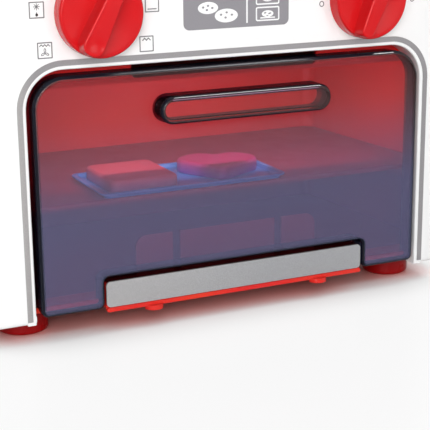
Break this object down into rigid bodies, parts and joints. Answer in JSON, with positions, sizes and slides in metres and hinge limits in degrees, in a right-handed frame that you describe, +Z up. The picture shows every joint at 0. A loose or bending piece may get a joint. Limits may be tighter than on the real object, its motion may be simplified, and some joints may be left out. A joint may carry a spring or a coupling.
{
  "type": "toy oven",
  "caption": "Free-standing toy oven with a see-through drop-down door, turning knobs, a shelf, a tray and play food.",
  "frame": {"origin": "middle of the oven's outer box, on the surface that the feet stand on", "axes": "+X to the right as seen from the front, +Y to the back, +Z up"},
  "size_m": [0.31, 0.197, 0.218],
  "materials": {
    "gloss_white": "glossy moulded white plastic",
    "silver_print": "glossy silver foil line",
    "grey_label": "smooth grey label with white pictograms",
    "violet_clear": "smoky violet see-through moulded plastic",
    "gloss_red": "glossy moulded red plastic",
    "dark_red": "dark red moulded plastic",
    "silver_plate": "silver-lacquered plastic plate",
    "nylon": "natural moulded nylon",
    "steel": "zinc-plated steel screws",
    "tray_blue": "glossy moulded blue plastic",
    "food_salmon": "smooth salmon plastic",
    "food_crimson": "smooth red plastic"
  },
  "bodies": {
    "root": {"front_panel": "gloss_white", "silver_line": "silver_print", "display_label": "grey_label", "housing": "gloss_white", "back_cover": "gloss_white", "base_plate": "gloss_red", "front_left_foot": "dark_red", "front_right_foot": "dark_red", "rear_left_foot": "dark_red", "rear_right_foot": "dark_red", "oven_liner": "gloss_red", "shelf": "gloss_red", "left_hinge_rod": "gloss_red", "right_hinge_rod": "gloss_red", "sill_bar": "gloss_red", "sill_plate": "silver_plate", "left_click_spring": "nylon", "right_click_spring": "nylon", "spring_screws": "steel", "panel_screws": "steel", "liner_screws": "steel", "base_screws": "steel", "back_screws": "steel"},
    "door": {"door": "violet_clear"},
    "left_knob": {"left_knob": "gloss_red", "left_click_wheel": "nylon", "left_knob_screw": "steel"},
    "right_knob": {"right_knob": "gloss_red", "right_click_wheel": "nylon", "right_knob_screw": "steel"},
    "tray": {"tray": "tray_blue"},
    "square_food": {"square_food": "food_salmon"},
    "heart_food": {"heart_food": "food_crimson"}
  },
  "joints": [
    {"name": "door_hinge", "type": "hinge", "parent": "root", "child": "door", "pos_m": [0, -0.073, 0.018], "axis": [1, 0, 0], "range_deg": [0, 85]},
    {"name": "left_knob_turn", "type": "hinge", "parent": "root", "child": "left_knob", "pos_m": [-0.0831, -0.08, 0.1812], "axis": [0, 1, 0], "continuous": true},
    {"name": "right_knob_turn", "type": "hinge", "parent": "root", "child": "right_knob", "pos_m": [0.0831, -0.08, 0.1812], "axis": [0, 1, 0], "continuous": true},
    {"name": "tray_slide", "type": "slide", "parent": "root", "child": "tray", "axis": [0, 1, 0], "range_m": [0, 0.07]},
    {"name": "square_food_lift", "type": "slide", "parent": "tray", "child": "square_food", "axis": [0, 0, 1], "range_m": [0, 0.03]},
    {"name": "heart_food_lift", "type": "slide", "parent": "tray", "child": "heart_food", "axis": [0, 0, 1], "range_m": [0, 0.03]}
  ]
}
